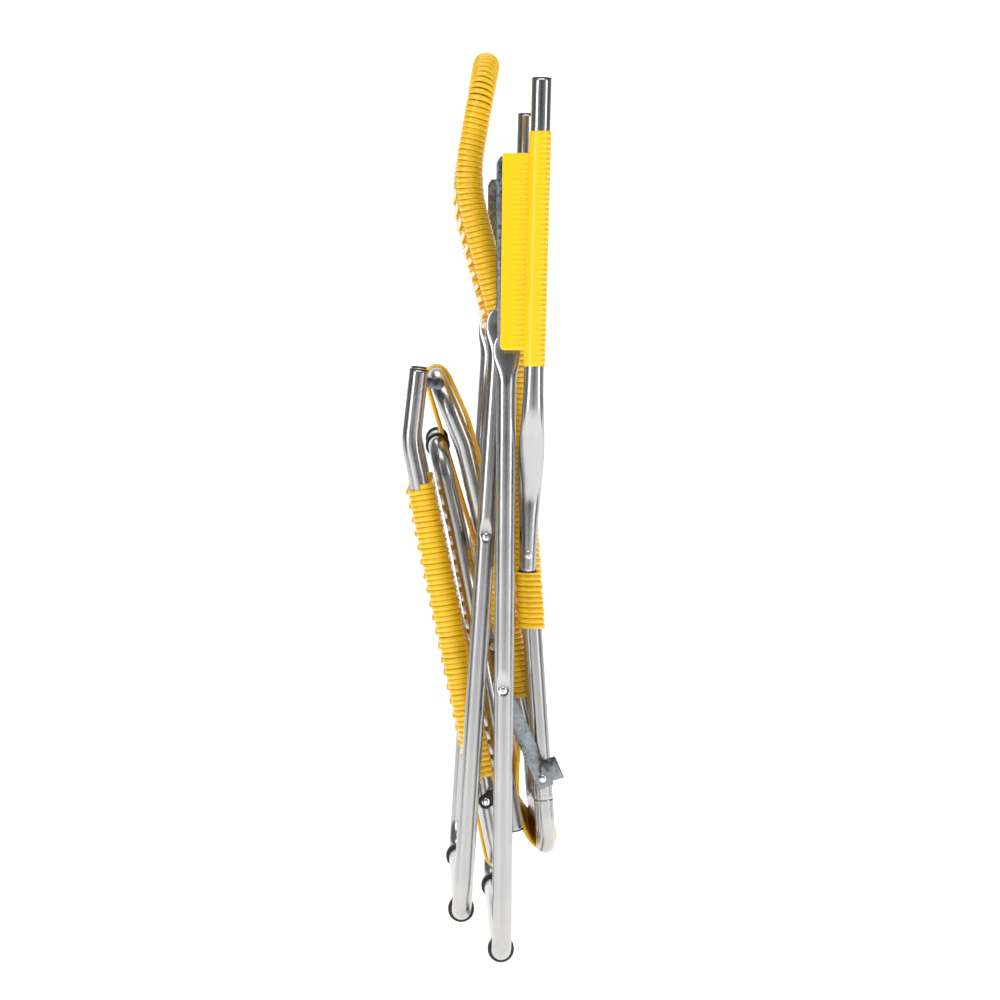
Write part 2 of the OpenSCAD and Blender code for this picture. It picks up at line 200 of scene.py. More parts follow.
def ring_faces(rows, columns):
    """Quads of a grid of rows and columns whose columns close on themselves, as an index array."""
    i, j = np.meshgrid(np.arange(rows - 1), np.arange(columns), indexing="ij")
    k = (j + 1) % columns
    return np.stack([i * columns + j, i * columns + k, (i + 1) * columns + k,
                     (i + 1) * columns + j], axis=-1).reshape(-1, 4)


def build(name, body, stands_for, material, parts):
    """Joins tubular grids into one piece. Each part is (points in mm as rows x columns x 3, length
    in mm along the rows); its ends are closed, and its UV map is length in metres by turn."""
    verts, quads, caps, uvs, base = [], [], [], [], 0
    for points, along in parts:
        rows, columns = points.shape[:2]
        faces = ring_faces(rows, columns)
        verts.append(points.reshape(-1, 3) * 0.001)
        quads.append(faces + base)
        row = np.broadcast_to(np.asarray(along)[:, None] * 0.001, (rows, columns)).ravel()
        turn = np.arange(columns) / columns
        _, j = np.meshgrid(np.arange(rows - 1), np.arange(columns), indexing="ij")
        u = row[faces]
        v = np.stack([turn[j], turn[j] + 1 / columns, turn[j] + 1 / columns, turn[j]],
                     axis=-1).reshape(-1, 4)
        uvs.append(np.stack([u, v], axis=-1).reshape(-1, 2))
        caps += [list(range(base + columns - 1, base - 1, -1)),
                 list(range(base + (rows - 1) * columns, base + rows * columns))]
        base += rows * columns
    mesh = bpy.data.meshes.new(name)
    mesh.from_pydata(np.concatenate(verts).tolist(), [], np.concatenate(quads).tolist() + caps)
    layer = mesh.uv_layers.new(name="length_by_turn")
    flat = np.zeros((len(mesh.loops), 2), np.float32)
    every = np.concatenate(uvs)
    flat[:len(every)] = every
    layer.data.foreach_set("uv", flat.ravel())
    smooth = np.ones(len(mesh.polygons), bool)
    smooth[-len(caps):] = False
    mesh.polygons.foreach_set("use_smooth", smooth)
    mesh.materials.append(material)
    shell = bmesh.new()
    shell.from_mesh(mesh)
    bmesh.ops.recalc_face_normals(shell, faces=shell.faces)
    shell.to_mesh(mesh)
    shell.free()
    piece = bpy.data.objects.new(name, mesh)
    bpy.context.scene.collection.objects.link(piece)
    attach(piece, body)
    if stands_for:
        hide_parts(*stands_for)
    return piece


def rounded_path(corners, radii, step=3.0):
    """Points about every step along straight runs joined by arcs: at each corner the arc of its
    radius starts radius * tan(half the turn) before it. Returns the points and their lengths."""
    corners = np.asarray(corners, float)
    runs = [corners[:1]]
    for before, corner, after, radius in zip(corners[:-2], corners[1:-1], corners[2:], radii):
        d = (corner - before) / np.linalg.norm(corner - before)
        e = (after - corner) / np.linalg.norm(after - corner)
        turn = math.acos(np.clip(d @ e, -1, 1))
        inward = (e - d * (d @ e)) / math.sin(turn)
        start = corner - d * radius * math.tan(turn / 2)
        angle = np.linspace(0, turn, 40)[:, None]
        runs.append(start + radius * (np.sin(angle) * d + (1 - np.cos(angle)) * inward))
    runs.append(corners[-1:])
    rough = np.concatenate(runs)
    length = np.concatenate([[0], np.cumsum(np.linalg.norm(np.diff(rough, axis=0), axis=1))])
    even = np.linspace(0, length[-1], int(length[-1] / step) + 1)
    return np.stack([np.interp(even, length, rough[:, k]) for k in range(3)], axis=1), even


def tube_frame(points):
    """Two unit vectors square to the path at each point: one level with the frame's own plane and
    one out of it, from the cross product of the tangent with X."""
    tangent = np.gradient(points, axis=0)
    tangent /= np.linalg.norm(tangent, axis=1)[:, None]
    level = np.cross(tangent, [1.0, 0.0, 0.0])
    level /= np.linalg.norm(level, axis=1)[:, None]
    return level, np.cross(level, tangent), tangent


def tube(points, length, level_r=TUBE_R, out_r=TUBE_R, sides=40):
    """A tube's grid: at each path point an ellipse whose two radii may vary along the path."""
    level, out, _ = tube_frame(points)
    angle = np.linspace(0, 2 * np.pi, sides, endpoint=False)[None, :, None]
    wide = np.broadcast_to(level_r, len(points))[:, None, None]
    high = np.broadcast_to(out_r, len(points))[:, None, None]
    grid = points[:, None] + wide * np.cos(angle) * level[:, None] + high * np.sin(angle) * out[:, None]
    return grid, length


def u_corners(side, y):
    """The corners of a U frame: its side outline at -y, and back along it at +y."""
    side = np.asarray(side, float)
    left = np.stack([side[:, 0], np.full(len(side), -y), side[:, 1]], axis=1)
    return np.concatenate([left, (left * [1, -1, 1])[::-1]])


def dimple(grid, at, y, deep, wide, tall):
    """Presses both sides of a frame in around a rivet: each point moves towards the rivet's far
    side by deep times a bell curve of its distance, stretched upwards."""
    dx = (grid[..., 0] - at[0]) / wide
    dz = grid[..., 2] - at[1] - 3
    dz = np.where(dz > 0, dz / tall, dz / wide)
    outer = np.abs(grid[..., 1]) > y
    push = deep * np.exp(-(dx ** 2 + dz ** 2) ** 2) * outer
    grid[..., 1] -= np.sign(grid[..., 1]) * push


def line_x(a, b, z):
    """The x at height z on the line from a to b, each as (x, z)."""
    return a[0] + (b[0] - a[0]) * (z - a[1]) / (b[1] - a[1])


def leg_grid(top, foot, y, bend, rivet, eye_r=16.0, eye_t=3.0, shoulder=48.0):
    """A leg frame's grid: round tube whose ends flatten over a shoulder to an eye. The half width
    follows a smooth step out to the eye, and ends on the eye's own circle."""
    reach_up = (top[0] + (top[0] - foot[0]) * eye_r / (top[1] - foot[1]), top[1] + eye_r - 0.2)
    points, length = rounded_path(u_corners([reach_up, foot], y), (bend, bend), 2.0)
    to_end = np.minimum(length, length[-1] - length)
    blend = np.clip((to_end - 1.2 * eye_r) / shoulder, 0, 1)
    blend = blend * blend * (3 - 2 * blend)
    bulge = np.exp(-((to_end - 34) / 16) ** 2)
    disc = np.sqrt(np.clip(eye_r ** 2 - (eye_r - np.minimum(to_end, eye_r)) ** 2, 0.04, None))
    in_plane = np.where(to_end < eye_r, disc, eye_r + (TUBE_R - eye_r) * blend + 1.5 * bulge)
    thick = eye_t + (TUBE_R - eye_t) * blend
    grid, along = tube(points, length, level_r=thick, out_r=in_plane)
    dimple(grid, rivet, y, 2.6, 6.5, 15.0)
    return grid, along


aluminium, metal, metal_shader = finish("drawn_aluminium", (0.80, 0.79, 0.77), 1.0, 0.22)
metal_uv = metal.node("ShaderNodeTexCoord", None, "UV")
streaks = metal.node("ShaderNodeTexNoise", None, 0, Detail=3.0, Scale=1.0, Vector=metal.node(
    "ShaderNodeMapping", None, 0, Vector=metal_uv, Scale=(5.0, 90.0, 1.0)))
smears = noise(metal, 14.0, 3.0)
nicks = noise(metal, 260.0, 4.0)
feed(metal, metal_shader,
     Roughness=0.12 + streaks * 0.14 + smears * 0.12,
     Base_Color=blended(metal, smears, (0.40, 0.40, 0.41, 1), (0.56, 0.555, 0.54, 1)),
     Normal=bent(metal, streaks * 0.6 + nicks * 0.4, 0.12, 0.0004))

REAR_Y = 287.0
REAR_TOP, REAR_FOOT, STRUT_PIVOT = (28.5, 794.6), (22.4, 17.0), (23.7, 358.3)
build("rear_leg_tube", "rear_leg", ["rear_leg_frame"], aluminium,
      [leg_grid(REAR_TOP, REAR_FOOT, REAR_Y, 45.0, STRUT_PIVOT)])


# ---------------------------------------------------------------- Front leg
# The same U, a little narrower and shorter, so that it folds inside the rear leg. The seat
# frame's rivet goes through it above its middle.
FRONT_Y = 261.0
FRONT_TOP, FRONT_FOOT, SEAT_PIVOT = (20.5, 826.4), (-28.5, 64.5), (3.2, 551.2)
build("front_leg_tube", "front_leg", ["front_leg_frame"], aluminium,
      [leg_grid(FRONT_TOP, FRONT_FOOT, FRONT_Y, 45.0, SEAT_PIVOT)])


# ---------------------------------------------------------------- Back frame
# A wide U of the same tube that is curved in side view as a lumbar rest, and the short bent piece
# that is slipped on its lower ends and closes it behind the hip rivets.
BACK_Y = 227.0
HIP = (75.9, 238.2)
BACK_WAIST = (40.0, 770.0)
BACK_CREST, BACK_TOP = (-22.0, 1004.0), (5.0, 1155.0)
BACK_JOINT = (line_x(BACK_WAIST, HIP, 210), 210)
BACK_LOW = (line_x(BACK_WAIST, HIP, 145), 145)
back_path, back_length = rounded_path(u_corners([BACK_JOINT, BACK_WAIST, BACK_CREST, BACK_TOP], BACK_Y),
                                      (150, 200, 60, 60, 200, 150))
back_grid, _ = tube(back_path, back_length)
build("back_tube", "back", ["back_frame"], aluminium, [(back_grid, back_length)])
bend_path, bend_length = rounded_path(u_corners([BACK_JOINT, BACK_LOW], BACK_Y), (43, 43), 2.0)
build("back_bend", "back", ["back_lower_bend"], aluminium, [tube(bend_path, bend_length)])


# ---------------------------------------------------------------- Seat, footrest and foot leg frames
# Three more bent tubes that nest inside each other: the seat's U with its rounded knee, the
# footrest's U with cranked free ends, and the small leg that holds the footrest up.
SEAT_Y = 200.0
SEAT_KNEE = (-59.0, 753.0)
SEAT_BEND = (line_x(SEAT_PIVOT, HIP, 664), 664)
SEAT_END = (line_x(SEAT_PIVOT, HIP, 224), 224)
seat_path, seat_length = rounded_path(u_corners([SEAT_END, SEAT_BEND, SEAT_KNEE], SEAT_Y),
                                      (120, 55, 55, 120))
seat_grid, _ = tube(seat_path, seat_length)
dimple(seat_grid, SEAT_PIVOT, SEAT_Y, 1.5, 6.0, 8.0)
build("seat_tube", "seat", ["seat_frame"], aluminium, [(seat_grid, seat_length)])

FOOTREST_TOP, FOOTREST_KINK, FOOTREST_END = (-82.0, 762.0), (-92.5, 670.0), (20.0, 126.0)
footrest_path, footrest_length = rounded_path(
    u_corners([FOOTREST_TOP, FOOTREST_KINK, FOOTREST_END], BACK_Y), (90, 45, 45, 90))
build("footrest_tube", "footrest", ["footrest_frame"], aluminium,
      [tube(footrest_path, footrest_length)])

FOOT_LEG_TOP, FOOT_LEG_BEND, FOOT_LEG_END = (-58.0, 664.0), (-33.0, 556.0), (41.0, 166.0)
foot_leg_path, foot_leg_length = rounded_path(
    u_corners([FOOT_LEG_END, FOOT_LEG_BEND, FOOT_LEG_TOP], SEAT_Y), (120, 42, 42, 120))
build("foot_leg_tube", "foot_leg", ["foot_leg_frame"], aluminium,
      [tube(foot_leg_path, foot_leg_length)])


# ---------------------------------------------------------------- Armrest tubes
# Straight under the pad, then set inwards to reach the back frame; the press that sets it leaves
# the tube wide at the first bend and narrow at its end.
ARM_Y, ARM_LOW_Y = 300.0, 257.5
ARM_TOP, ARM_END = (72.2, 1127.0), (55.9, 507.0)
SIDES = (("left", -1), ("right", 1))
for side_name, side in SIDES:
    arm_corners = [(ARM_TOP[0], side * ARM_Y, ARM_TOP[1]),
                   (line_x(ARM_TOP, ARM_END, 700), side * ARM_Y, 700),
                   (line_x(ARM_TOP, ARM_END, 610), side * ARM_LOW_Y, 610),
                   (ARM_END[0], side * ARM_LOW_Y, ARM_END[1])]
    arm_path, arm_length = rounded_path(arm_corners, (80, 80))
    swell = 4.2 * np.exp(-((arm_path[:, 2] - 655) / 55) ** 2)
    taper = 2.0 * np.clip((600 - arm_path[:, 2]) / 90, 0, 1)
    arm_grid, _ = tube(arm_path, arm_length, level_r=TUBE_R - 0.7 * swell, out_r=TUBE_R + swell - taper)
    build(f"arm_tube_{side_name}_piece", f"armrest_{side_name}", [f"arm_tube_{side_name}"], aluminium,
          [(arm_grid, arm_length)])


# ---------------------------------------------------------------- Armrest pads
# Moulded yellow plastic: a sleeve with a ribbed grip and a smooth flat skirt that hides the
# channel, with fainter ribs where the two meet.
pad_plastic, pad, pad_shader = finish("pad_plastic", (1.0, 0.70, 0.003), roughness=0.36, coat=0.15)
pad_grain = noise(pad, 420.0, 3.0)
pad_flow = noise(pad, 9.0, 2.0)
feed(pad, pad_shader,
     Base_Color=blended(pad, pad_flow, (0.93, 0.60, 0.001, 1), (0.98, 0.67, 0.001, 1)),
     Roughness=0.30 + pad_grain * 0.14,
     Normal=bent(pad, pad_grain, 0.10, 0.0003))

RIB_PITCH, SLEEVE_R = 6.28, 14.0
SLEEVE_TOP, SLEEVE_LOW = 1062.0, 768.0
SKIRT_TOP, SKIRT_LOW = 1035.0, 788.0


def rib_wave(z):
    """A row of rounded ribs along z: the positive part of a sine, to the power a half."""
    return np.sqrt(np.clip(np.sin(2 * np.pi * z / RIB_PITCH), 0, None))


def sleeve_grid(side):
    """The sleeve: radius plus a rib wave that is high on the grip side and low at the skirt."""
    z = np.arange(SLEEVE_LOW, SLEEVE_TOP + 0.1, 0.75)
    angle = np.linspace(0, 2 * np.pi, 72, endpoint=False)
    centre_x = line_x(ARM_TOP, ARM_END, z)
    grip = np.exp(-((np.angle(np.exp(1j * (angle - 0.85)))) / 0.5) ** 2)
    under = np.exp(-((np.angle(np.exp(1j * (angle + 1.2)))) / 0.5) ** 2)
    edge = np.clip(np.minimum(z - SLEEVE_LOW, SLEEVE_TOP - z) / 1.5, 0, 1)
    r = SLEEVE_R - 0.8 * (1 - edge[:, None]) + rib_wave(z)[:, None] * (1.5 * grip + 1.1 * under)[None]
    x = centre_x[:, None] + r * np.cos(angle)
    y = side * (ARM_Y + r * np.sin(angle))
    return np.stack([x, y, np.broadcast_to(z[:, None], x.shape)], axis=-1), z


def skirt_grid(side):
    """The skirt: at each height a rounded slat from its free edge to the sleeve, with a faint rib
    wave near the sleeve and a free edge that turns in at its lower corner."""
    z = np.arange(SKIRT_LOW, SKIRT_TOP + 0.1, 0.75)
    count = 56
    turn = np.linspace(0, 2 * np.pi, count, endpoint=False)
    inner = line_x(ARM_TOP, ARM_END, z) - 9
    corner = 6 - np.sqrt(np.clip(36 - np.clip(SKIRT_LOW + 6 - z, 0, 6) ** 2, 0, None))
    top_corner = 2.5 - np.sqrt(np.clip(6.25 - np.clip(z - SKIRT_TOP + 2.5, 0, 2.5) ** 2, 0, None))
    outer = 20 + 3 * (z - SKIRT_LOW) / (SKIRT_TOP - SKIRT_LOW) + corner + top_corner
    middle, half = (inner + outer) / 2, (inner - outer) / 2
    shape = np.sign(np.cos(turn)) * np.abs(np.cos(turn)) ** 0.25
    thick = np.sign(np.sin(turn)) * np.abs(np.sin(turn)) ** 0.25
    x = middle[:, None] + half[:, None] * shape[None]
    edge = np.clip(np.minimum(z - SKIRT_LOW, SKIRT_TOP - z) / 1.2, 0.25, 1)
    near = np.clip((x - (inner[:, None] - 16)) / 5, 0, 1) * (thick[None] > 0)
    y = ARM_Y + 2.6 + 1.9 * thick[None] * edge[:, None] + 0.8 * rib_wave(z)[:, None] * near
    return np.stack([x, side * y, np.broadcast_to(z[:, None], x.shape)], axis=-1), z


for side_name, side in SIDES:
    build(f"arm_pad_{side_name}_piece", f"armrest_{side_name}", [f"arm_pad_{side_name}"], pad_plastic,
          [sleeve_grid(side), skirt_grid(side)])


# ---------------------------------------------------------------- Cord winding
# Glossy flat-laid PVC cord wound turn against turn round the tubes of the back, seat and
# footrest, which also anchors the cords that cross from side to side.
cord_pvc, cord, cord_shader = finish("yellow_pvc_cord", (0.95, 0.56, 0.002), roughness=0.3, coat=0.35)
cord_tone = noise(cord, 22.0, 2.0)
cord_skin = noise(cord, 700.0, 2.0)
feed(cord, cord_shader,
     Base_Color=blended(cord, cord_tone, (0.90, 0.50, 0.001, 1), (0.98, 0.62, 0.003, 1)),
     Roughness=0.24 + cord_skin * 0.12,
     Normal=bent(cord, cord_skin, 0.06, 0.0002))

PITCH, CORD_WIDE, CORD_THICK = 6.85, 3.55, 2.55
WOUND_R = TUBE_R + CORD_THICK - 0.15


def wound(path, length, start, end, seed, turn_points=18, sides=8):
    """A cord wound round a path between two lengths: a helix of one turn per pitch, whose radius
    and spacing wander a little, carrying a flattened ellipse as its section."""
    wander = np.random.default_rng(seed)
    turns = int((end - start) / PITCH)
    phase = np.linspace(0, turns, turns * turn_points + 1)
    slack = np.interp(phase, np.arange(turns + 2), wander.normal(0, 0.18, turns + 2))
    bump = np.interp(phase, np.arange(turns + 2), wander.normal(0, 0.22, turns + 2))
    s = np.clip(start + phase * (end - start) / turns + slack, start, end)
    middle = np.stack([np.interp(s, length, path[:, k]) for k in range(3)], axis=1)
    level, out, tangent = (np.stack([np.interp(s, length, v[:, k]) for k in range(3)], axis=1)
                           for v in tube_frame(path))
    angle = 2 * np.pi * phase
    radial = np.cos(angle)[:, None] * level + np.sin(angle)[:, None] * out
    centre = middle + (WOUND_R + np.abs(bump))[:, None] * radial
    around = np.linspace(0, 2 * np.pi, sides, endpoint=False)[None, :, None]
    grid = (centre[:, None] + CORD_THICK * np.cos(around) * radial[:, None]
            + CORD_WIDE * np.sin(around) * tangent[:, None])
    return grid, phase * 2 * np.pi * WOUND_R


def length_at(path, length, z, y_sign):
    """The length along a U path where its left (-1) or right (1) side passes a height."""
    side = np.sign(path[:, 1]) == y_sign
    order = np.argsort(path[side, 2])
    return float(np.interp(z, path[side, 2][order], length[side][order]))


BACK_WIND = 431.0
build("back_winding", "back", ["back_webbing"], cord_pvc,
      [wound(back_path, back_length, length_at(back_path, back_length, BACK_WIND, -1),
             length_at(back_path, back_length, BACK_WIND, 1), 3)])

SEAT_WIND = (340.0, 534.0)
build("seat_winding", "seat", ["seat_webbing"], cord_pvc,
      [wound(seat_path, seat_length,
             *sorted(length_at(seat_path, seat_length, z, s) for z in SEAT_WIND), 5 + s)
       for s in (-1, 1)])

FOOTREST_WIND = (236.0, 613.0)
build("footrest_winding", "footrest", ["footrest_webbing"], cord_pvc,
      [wound(footrest_path, footrest_length,
             *sorted(length_at(footrest_path, footrest_length, z, s) for z in FOOTREST_WIND), 9 + s)
       for s in (-1, 1)])


# ---------------------------------------------------------------- Cords across
# Between the wound sides the cord crosses in pairs, on the front face and, half a step on, on the
# rear face, drawn tight from tube to tube.
CROSS_STEP = 17.6


def crossing(path, length, start, end, half, seed):
    """Straight cords across Y at even lengths along one side, lying on the winding's two faces."""
    wander = np.random.default_rng(seed)
    made = []
    count = int((end - start) / CROSS_STEP)
    _, out, tangent = tube_frame(path)
    for k in range(2 * count):
        s = start + (k / 2 + 0.25) * (end - start) / count
        face = 1 if k % 2 else -1
        centre = np.array([np.interp(s, length, path[:, a]) for a in range(3)])
        normal = np.array([np.interp(s, length, out[:, a]) for a in range(3)])
        along = np.array([np.interp(s, length, tangent[:, a]) for a in range(3)])
        normal = normal * face * np.sign(normal[0])
        proud = 5.2 if normal[0] < 0 else 2.4
        lean = wander.normal(0, 0.9)
        y = np.linspace(-half, half, 25)
        sag = 1.6 * (1 - (y / half) ** 2)
        line = np.stack([np.full(25, centre[0]), y, np.full(25, centre[2])], axis=1)
        line += normal * (TUBE_R + proud - sag[:, None]) + along * (lean * y[:, None] / half)
        around = np.linspace(0, 2 * np.pi, 10, endpoint=False)[None, :, None]
        grid = (line[:, None] + CORD_THICK * np.cos(around) * normal + CORD_WIDE * np.sin(around) * along)
        made.append((grid, y + half))
    return made


build("back_cords_across", "back", [], cord_pvc,
      crossing(back_path, back_length, length_at(back_path, back_length, BACK_WIND + 4, -1),
               length_at(back_path, back_length, 1012.0, -1), BACK_Y - 5, 21))
build("seat_cords_across", "seat", [], cord_pvc,
      crossing(seat_path, seat_length, *sorted(length_at(seat_path, seat_length, z, -1) for z in SEAT_WIND),
               SEAT_Y - 5, 22))
build("footrest_cords_across", "footrest", [], cord_pvc,
      crossing(footrest_path, footrest_length,
               *sorted(length_at(footrest_path, footrest_length, z, -1) for z in FOOTREST_WIND),
               BACK_Y - 5, 23))


# ---------------------------------------------------------------- Cords lengthwise
# From the last crossing cords, lengthwise cords run side by side round the frame's end tube and
# back: at the lower end of the back, over the seat's knee and at the footrest's foot end.
LOOP_R = TUBE_R + CORD_THICK


def looped(near, end, half, seed, out_by=(), back_by=()):
    """Loops between a near point and an end tube, both as (x, z): each runs out along one face,
    half round the tube and back along the other, is rounded by a running mean, and is repeated
    side by side across Y. Each face may pass through points of its own."""
    wander = np.random.default_rng(seed)
    near, end = np.array(near, float), np.array(end, float)
    d = (end - near) / np.linalg.norm(end - near)
    n = np.array([-d[1], d[0]])
    theta = np.linspace(np.pi / 2, -np.pi / 2, 15)[:, None]
    cap = end + LOOP_R * (np.sin(theta) * n + np.cos(theta) * d)
    route = np.concatenate([[near + LOOP_R * n], np.reshape(out_by, (-1, 2)), cap,
                            np.reshape(back_by, (-1, 2)), [near - LOOP_R * n]])
    gaps = np.concatenate([[0], np.cumsum(np.linalg.norm(np.diff(route, axis=0), axis=1))])
    s = np.linspace(0, gaps[-1], 130)
    flat = np.stack([np.interp(s, gaps, route[:, 0]), np.interp(s, gaps, route[:, 1])], axis=1)
    mean = np.stack([np.convolve(flat[:, k], np.full(7, 1 / 7), "valid") for k in (0, 1)], axis=1)
    flat[3:-3] = mean
    tangent = np.gradient(flat, axis=0)
    tangent /= np.linalg.norm(tangent, axis=1)[:, None]
    normal = np.stack([-tangent[:, 1], np.zeros(len(s)), tangent[:, 0]], axis=1)
    around = np.linspace(0, 2 * np.pi, 8, endpoint=False)[None, :, None]
    made = []
    for y in np.arange(-half, half + 0.1, 6.9):
        shift = wander.normal(0, 0.3) + wander.normal(0, 0.5) * np.sin(s / gaps[-1] * np.pi)
        line = np.stack([flat[:, 0], y + shift, flat[:, 1]], axis=1) + normal * wander.uniform(0, 0.6)
        grid = (line[:, None] + CORD_THICK * np.cos(around) * normal[:, None]
                + CORD_WIDE * np.sin(around) * ACROSS)
        made.append((grid, s))
    return made


build("back_cords_down", "back", ["back_lower_webbing"], cord_pvc,
      looped((line_x(BACK_WAIST, HIP, BACK_WIND + 6), BACK_WIND + 6), BACK_LOW, 156, 31,
             out_by=[(line_x(BACK_WAIST, HIP, 395) + 6, 395), (line_x(BACK_WAIST, HIP, 195) + 6, 195)],
             back_by=[(57, 150), (47, 190), (46, 235), (51, 300)]))
build("seat_cords_knee", "seat", ["seat_knee_webbing"], cord_pvc,
      looped((line_x(SEAT_PIVOT, HIP, SEAT_WIND[1]), SEAT_WIND[1]), SEAT_KNEE, 134, 32,
             back_by=[(-18, 698), (-2, 642)]))
build("footrest_cords_foot", "footrest", ["footrest_end_webbing"], cord_pvc,
      looped((line_x(FOOTREST_KINK, FOOTREST_END, FOOTREST_WIND[0]), FOOTREST_WIND[0]), FOOTREST_END,
             156, 33))


# ---------------------------------------------------------------- Rubber rings and plugs
# Black rubber: rings slipped on the cross tubes so that the metal never meets the floor, and
# plugs with a low domed cap pressed into every open tube end.
black_rubber, rubber, rubber_shader = finish("black_rubber", (0.012, 0.012, 0.013), roughness=0.5)
rubber_skin = noise(rubber, 300.0, 3.0)
feed(rubber, rubber_shader, Roughness=0.36 + rubber_skin * 0.2,
     Base_Color=blended(rubber, rubber_skin, (0.008, 0.008, 0.009, 1), (0.022, 0.022, 0.024, 1)),
     Normal=bent(rubber, rubber_skin, 0.2, 0.0003))


def turned(at, axis, profile, sides=48):
    """A shape turned round an axis through a point: the profile lists distance along the axis and
    radius, and each becomes a circle."""
    axis = np.asarray(axis, float) / np.linalg.norm(axis)
    first = np.cross(axis, [0, 0, 1.0] if abs(axis[2]) < 0.9 else [1.0, 0, 0])
    first /= np.linalg.norm(first)
    second = np.cross(axis, first)
    angle = np.linspace(0, 2 * np.pi, sides, endpoint=False)[None, :, None]
    profile = np.asarray(profile, float)
    grid = (np.asarray(at, float) + profile[:, :1, None] * axis
            + profile[:, 1:, None] * (np.cos(angle) * first + np.sin(angle) * second))
    return grid, profile[:, 0] - profile[0, 0]


def ring_profile(width, inner, outer):
    """A rubber ring's section: flat outside with rounded shoulders, closed down to the tube."""
    quarter = np.linspace(0, np.pi / 2, 6)
    soft = min(2.0, outer - inner - 0.1)
    left = np.stack([soft - soft * np.cos(quarter), outer - soft + soft * np.sin(quarter)], axis=1)
    right = np.stack([width - soft + soft * np.sin(quarter), outer - soft + soft * np.cos(quarter)], axis=1)
    return np.concatenate([[[0, inner]], left, right, [[width, inner]]])


for ring_name, ring_body, ring_at, ring_from, ring_wide, ring_outer in (
        ("rear_leg_rings", "rear_leg", REAR_FOOT, REAR_Y - 61, 16, 17.0),
        ("front_leg_rings", "front_leg", FRONT_FOOT, FRONT_Y - 61, 16, 17.0),
        ("foot_leg_rings", "foot_leg", FOOT_LEG_TOP, 138, 16, 16.0)):
    build(ring_name + "_piece", ring_body, [ring_name], black_rubber,
          [turned((ring_at[0], side * ring_from, ring_at[1]), (0, side, 0),
                  ring_profile(ring_wide, TUBE_R + 0.02, ring_outer)) for _, side in SIDES])
SPACER_GAP, SPACER_BORE_R, SPACER_R = 0.4, 3.1, 8.0
build("seat_spacers_piece", "front_leg", ["front_leg_spacers"], black_rubber,
      [turned((SEAT_PIVOT[0], side * (SEAT_Y + TUBE_R + SPACER_GAP), SEAT_PIVOT[1]), (0, side, 0),
              ring_profile(FRONT_Y - SEAT_Y - 2 * TUBE_R - SPACER_GAP, SPACER_BORE_R, SPACER_R))
       for _, side in SIDES])


def plug(end, before, y):
    """A plug at a tube's end: a shank in the bore, a rim as wide as the tube and a low dome."""
    d = np.array([end[0] - before[0], 0.0, end[1] - before[1]])
    dome = np.linspace(0, np.pi / 2, 7)
    cap = np.stack([1.6 + 0.9 * np.sin(dome), 12.0 * np.cos(dome)], axis=1)
    shank_and_rim = [[-8, 10.5], [0.02, 10.9], [0.02, 12.3], [1.2, 12.45]]
    return turned((end[0], y, end[1]), d, np.concatenate([shank_and_rim, cap[:-1], [[2.5, 0.3]]]))


for plug_name, plug_body, plug_ends in (
        ("seat_tube_plugs", "seat", [(SEAT_END, HIP, SEAT_Y)]),
        ("footrest_plugs", "footrest", [(FOOTREST_TOP, FOOTREST_KINK, BACK_Y)]),
        ("foot_leg_plugs", "foot_leg", [(FOOT_LEG_END, FOOT_LEG_BEND, SEAT_Y)])):
    build(plug_name + "_piece", plug_body, [plug_name], black_rubber,
          [plug(end, before, side * y) for end, before, y in plug_ends for _, side in SIDES])
for side_name, side in SIDES:
    build(f"arm_plugs_{side_name}_piece", f"armrest_{side_name}", [f"arm_plugs_{side_name}"], black_rubber,
          [plug(ARM_TOP, ARM_END, side * ARM_Y), plug(ARM_END, ARM_TOP, side * ARM_LOW_Y)])


# ---------------------------------------------------------------- Rivets
# Zinc-bright steel rivets with a domed head and a shallow dent from the setting tool.
rivet_steel, rivet, rivet_shader = finish("rivet_steel", (0.78, 0.79, 0.80), 1.0, 0.16)
rivet_marks = noise(rivet, 500.0, 3.0)
feed(rivet, rivet_shader, Roughness=0.10 + rivet_marks * 0.18, Normal=bent(rivet, rivet_marks, 0.15, 0.0002))

SHANK_R, HEAD_R, HEAD_H = 3.0, 5.5, 3.0
HEAD_GAP, DIMPLED, KNEE_DEPTH = 0.4, 1.9, 9.2


def set_rivet(at, inner, outer, side, heads=(True, True)):
    """A shank across Y between two half widths, with a domed head at either end or both."""
    dome = np.linspace(0, np.pi / 2, 8)
    head = np.stack([HEAD_H * np.sin(dome), HEAD_R * np.cos(dome)], axis=1)
    head[-1] = (HEAD_H - 0.25, 0.8)
    profile = [[0, 0.3], [0, SHANK_R]]
    if heads[0]:
        profile = [[-h, r] for h, r in head[::-1]] + [[0, HEAD_R - 0.2], [0, SHANK_R]]
    reach = outer - inner
    tail = [[reach, SHANK_R], [reach, 0.3]]
    if heads[1]:
        tail = [[reach, SHANK_R], [reach, HEAD_R - 0.2]] + [[reach + h, r] for h, r in head]
    return turned((at[0], side * inner, at[1]), (0, side, 0), profile + tail, 32)


